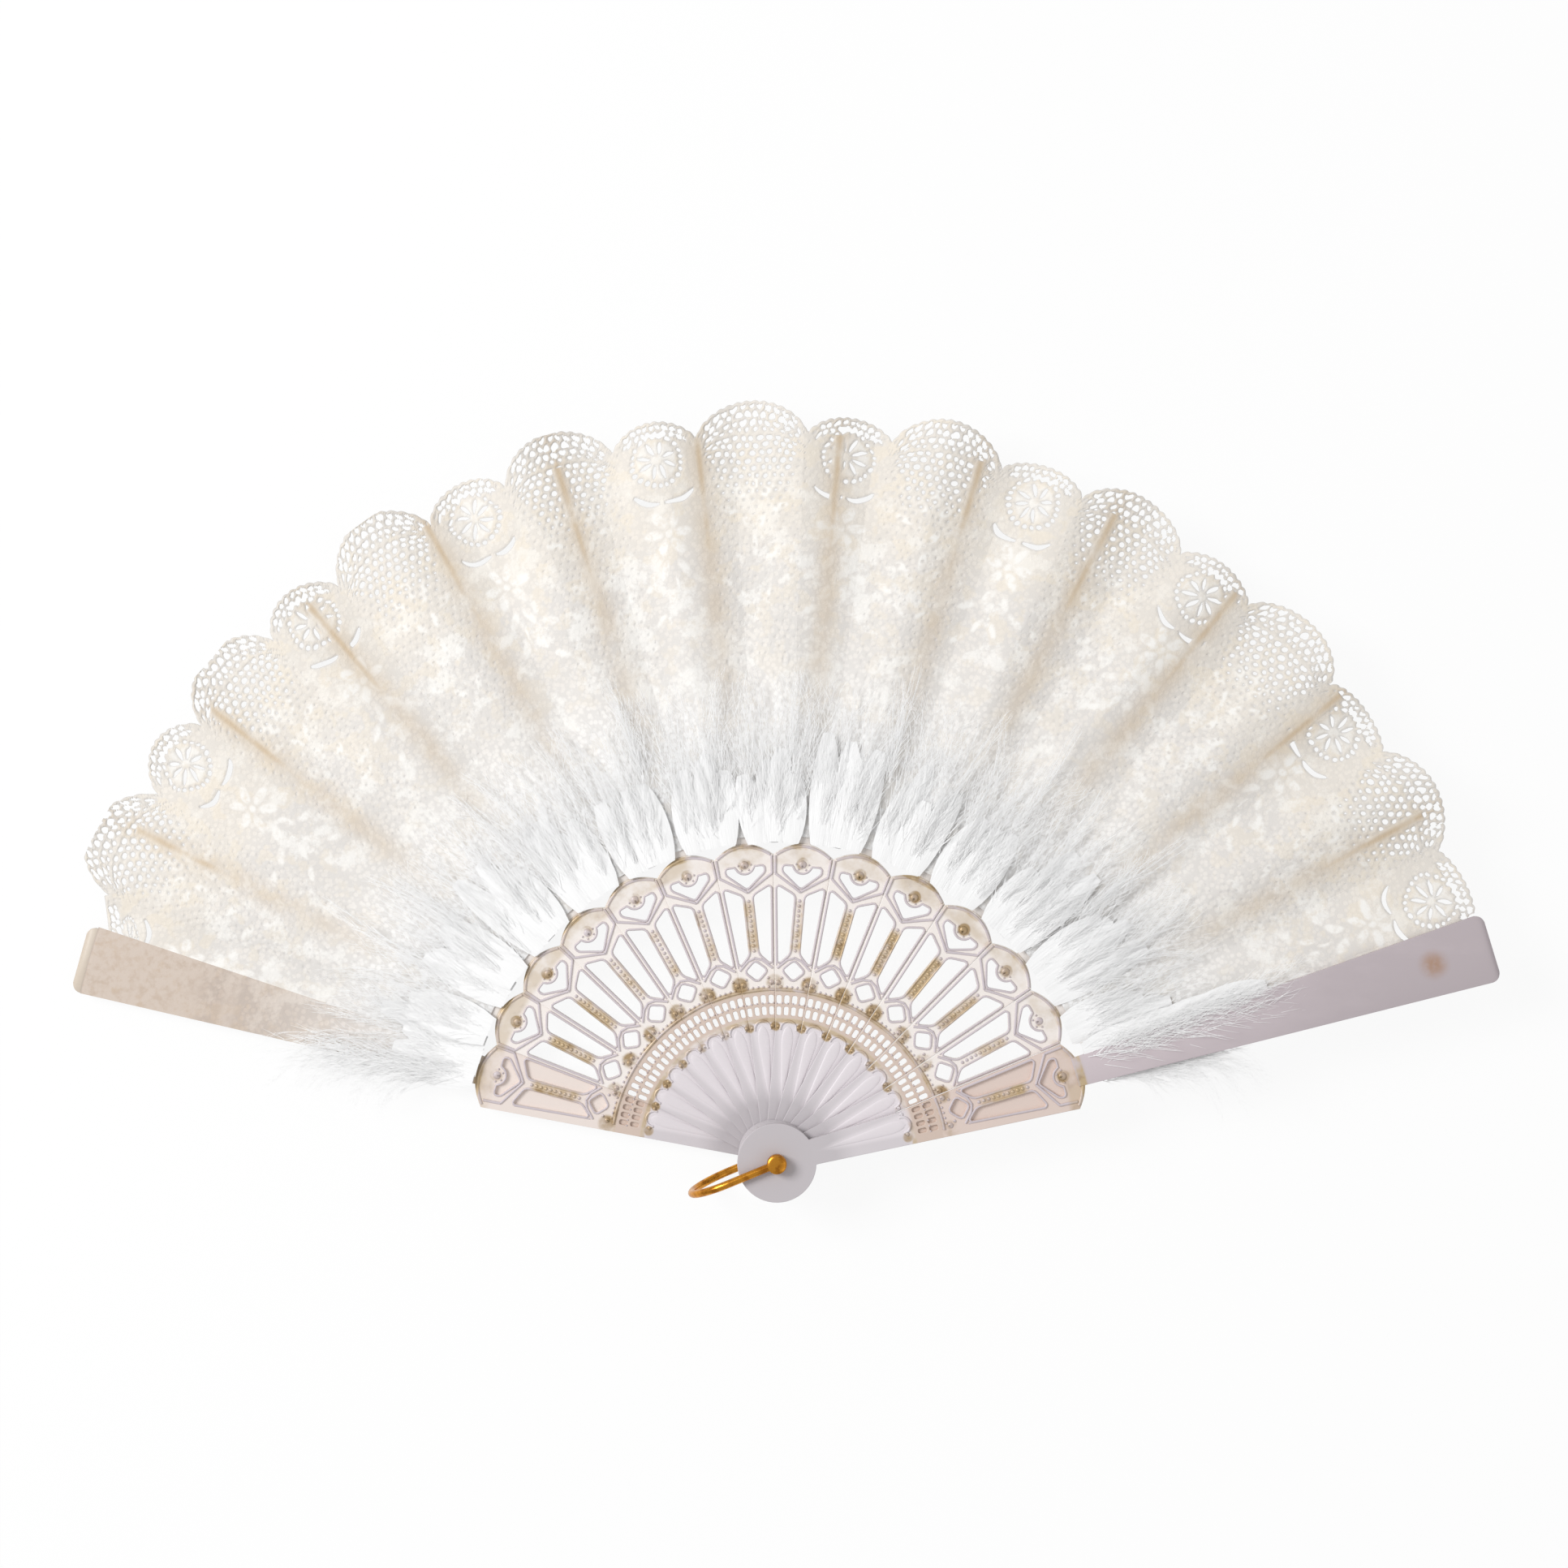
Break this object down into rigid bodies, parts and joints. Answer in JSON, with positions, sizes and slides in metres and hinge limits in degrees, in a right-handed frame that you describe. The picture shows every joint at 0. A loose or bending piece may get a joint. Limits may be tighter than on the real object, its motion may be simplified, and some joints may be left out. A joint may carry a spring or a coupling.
{
  "type": "feather fan",
  "caption": "Folding hand fan with pierced plastic sticks on a brass rivet and bail, a pleated lace leaf and white marabou down.",
  "frame": {"origin": "on the rivet's axis, on the flat outside of its back head, which the open fan lies on", "axes": "+Z out of the fan's face along the rivet, +Y from the rivet to the middle of the open leaf, +X to the right as seen from the face"},
  "size_m": [0.4235, 0.2364, 0.0304],
  "materials": {
    "ivory_plastic": "moulded off-white plastic with bronze-gold paint on the raised ornament",
    "mauve_plastic": "smooth pearly plastic",
    "brass": "polished brass plate",
    "lace": "thin cream polyester lace with a scalloped edge",
    "marabou": "loose white turkey down"
  },
  "bodies": {
    "back_guard": {"back_guard": "ivory_plastic", "leaf_gore_01": "lace", "marabou_01": "marabou", "rivet_pin": "brass", "rivet_head_back": "brass", "rivet_head_front": "brass"},
    "stick_01": {"stick_01": "ivory_plastic", "leaf_gore_02": "lace", "marabou_02": "marabou"},
    "stick_02": {"stick_02": "ivory_plastic", "leaf_gore_03": "lace", "marabou_03": "marabou"},
    "stick_03": {"stick_03": "ivory_plastic", "leaf_gore_04": "lace", "marabou_04": "marabou"},
    "stick_04": {"stick_04": "ivory_plastic", "leaf_gore_05": "lace", "marabou_05": "marabou"},
    "stick_05": {"stick_05": "ivory_plastic", "leaf_gore_06": "lace", "marabou_06": "marabou"},
    "stick_06": {"stick_06": "ivory_plastic", "leaf_gore_07": "lace", "marabou_07": "marabou"},
    "stick_07": {"stick_07": "ivory_plastic", "leaf_gore_08": "lace", "marabou_08": "marabou"},
    "stick_08": {"stick_08": "ivory_plastic", "leaf_gore_09": "lace", "marabou_09": "marabou"},
    "stick_09": {"stick_09": "ivory_plastic", "leaf_gore_10": "lace", "marabou_10": "marabou"},
    "stick_10": {"stick_10": "ivory_plastic", "leaf_gore_11": "lace", "marabou_11": "marabou"},
    "stick_11": {"stick_11": "ivory_plastic", "leaf_gore_12": "lace", "marabou_12": "marabou"},
    "stick_12": {"stick_12": "ivory_plastic", "leaf_gore_13": "lace", "marabou_13": "marabou"},
    "front_guard": {"front_guard": "mauve_plastic", "marabou_14": "marabou"},
    "bail": {"bail": "brass"}
  },
  "joints": [
    {"name": "fold_01", "type": "hinge", "parent": "back_guard", "child": "stick_01", "pos_m": [0, 0, 0.0139], "axis": [0, 0, 1], "range_deg": [0, 11.35], "deforming": ["leaf_gore_01", "marabou_01"]},
    {"name": "fold_02", "type": "hinge", "parent": "stick_01", "child": "stick_02", "pos_m": [0, 0, 0.0139], "axis": [0, 0, 1], "range_deg": [0, 11.35], "deforming": ["leaf_gore_02", "marabou_02"]},
    {"name": "fold_03", "type": "hinge", "parent": "stick_02", "child": "stick_03", "pos_m": [0, 0, 0.0139], "axis": [0, 0, 1], "range_deg": [0, 11.35], "deforming": ["leaf_gore_03", "marabou_03"]},
    {"name": "fold_04", "type": "hinge", "parent": "stick_03", "child": "stick_04", "pos_m": [0, 0, 0.0139], "axis": [0, 0, 1], "range_deg": [0, 11.35], "deforming": ["leaf_gore_04", "marabou_04"]},
    {"name": "fold_05", "type": "hinge", "parent": "stick_04", "child": "stick_05", "pos_m": [0, 0, 0.0139], "axis": [0, 0, 1], "range_deg": [0, 11.35], "deforming": ["leaf_gore_05", "marabou_05"]},
    {"name": "fold_06", "type": "hinge", "parent": "stick_05", "child": "stick_06", "pos_m": [0, 0, 0.0139], "axis": [0, 0, 1], "range_deg": [0, 11.35], "deforming": ["leaf_gore_06", "marabou_06"]},
    {"name": "fold_07", "type": "hinge", "parent": "stick_06", "child": "stick_07", "pos_m": [0, 0, 0.0139], "axis": [0, 0, 1], "range_deg": [0, 11.35], "deforming": ["leaf_gore_07", "marabou_07"]},
    {"name": "fold_08", "type": "hinge", "parent": "stick_07", "child": "stick_08", "pos_m": [0, 0, 0.0139], "axis": [0, 0, 1], "range_deg": [0, 11.35], "deforming": ["leaf_gore_08", "marabou_08"]},
    {"name": "fold_09", "type": "hinge", "parent": "stick_08", "child": "stick_09", "pos_m": [0, 0, 0.0139], "axis": [0, 0, 1], "range_deg": [0, 11.35], "deforming": ["leaf_gore_09", "marabou_09"]},
    {"name": "fold_10", "type": "hinge", "parent": "stick_09", "child": "stick_10", "pos_m": [0, 0, 0.0139], "axis": [0, 0, 1], "range_deg": [0, 11.35], "deforming": ["leaf_gore_10", "marabou_10"]},
    {"name": "fold_11", "type": "hinge", "parent": "stick_10", "child": "stick_11", "pos_m": [0, 0, 0.0139], "axis": [0, 0, 1], "range_deg": [0, 11.35], "deforming": ["leaf_gore_11", "marabou_11"]},
    {"name": "fold_12", "type": "hinge", "parent": "stick_11", "child": "stick_12", "pos_m": [0, 0, 0.0139], "axis": [0, 0, 1], "range_deg": [0, 11.35], "deforming": ["leaf_gore_12", "marabou_12"]},
    {"name": "fold_13", "type": "hinge", "parent": "stick_12", "child": "front_guard", "pos_m": [0, 0, 0.0139], "axis": [0, 0, 1], "range_deg": [0, 11.35], "deforming": ["leaf_gore_13", "marabou_13", "marabou_14"]},
    {"name": "bail_swing", "type": "hinge", "parent": "back_guard", "child": "bail", "pos_m": [0, 0, 0.0146], "axis": [0, 0, 1], "range_deg": [-22, 150]}
  ],
  "couplings": [
    {"joint": "fold_02", "follows": "fold_01", "ratio": 1},
    {"joint": "fold_03", "follows": "fold_01", "ratio": 1},
    {"joint": "fold_04", "follows": "fold_01", "ratio": 1},
    {"joint": "fold_05", "follows": "fold_01", "ratio": 1},
    {"joint": "fold_06", "follows": "fold_01", "ratio": 1},
    {"joint": "fold_07", "follows": "fold_01", "ratio": 1},
    {"joint": "fold_08", "follows": "fold_01", "ratio": 1},
    {"joint": "fold_09", "follows": "fold_01", "ratio": 1},
    {"joint": "fold_10", "follows": "fold_01", "ratio": 1},
    {"joint": "fold_11", "follows": "fold_01", "ratio": 1},
    {"joint": "fold_12", "follows": "fold_01", "ratio": 1},
    {"joint": "fold_13", "follows": "fold_01", "ratio": 1}
  ]
}
